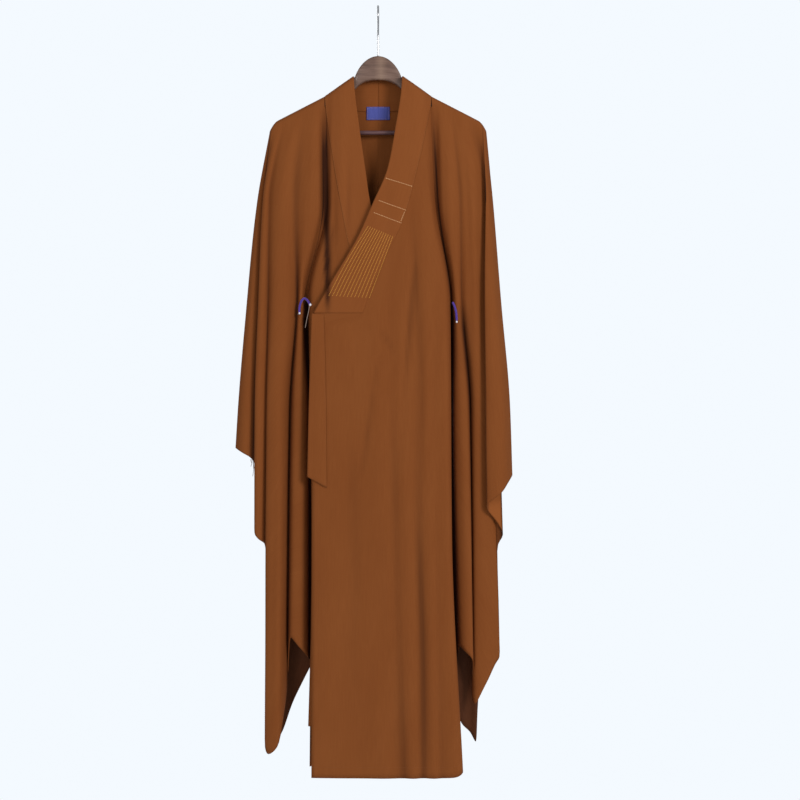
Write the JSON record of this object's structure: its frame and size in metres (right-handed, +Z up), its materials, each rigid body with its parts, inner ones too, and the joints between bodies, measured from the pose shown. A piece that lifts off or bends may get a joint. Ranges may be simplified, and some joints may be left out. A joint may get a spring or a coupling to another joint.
{
  "type": "buddhist monk robe on a wooden hanger",
  "caption": "Long crossed-front robe with wide folded sleeves and a broad collar band, hung flat on a wooden hanger with a wire hook.",
  "frame": {"origin": "inside top of the hanger's hook, where a rod along X holds it", "axes": "+X to the wearer's left, -Y to the front of the robe, +Z up"},
  "size_m": [0.5715, 0.1128, 1.58],
  "materials": {
    "cloth": "matt rust brown weave",
    "patch": "plain blue weave",
    "cord": "purple cord",
    "wood": "satin dark stain",
    "wire": "bright wire"
  },
  "bodies": {
    "root": {"sleeve_left": "cloth", "sleeve_right": "cloth", "front_left": "cloth", "front_right": "cloth", "back_left": "cloth", "back_right": "cloth", "collar_left": "cloth", "collar_right": "cloth", "tie_outer": "cloth", "neck_label": "patch", "loop_left": "cord", "loop_right": "cord", "hanger_wood": "wood", "hanger_bar": "wood", "hanger_hook": "wire"}
  },
  "joints": []
}
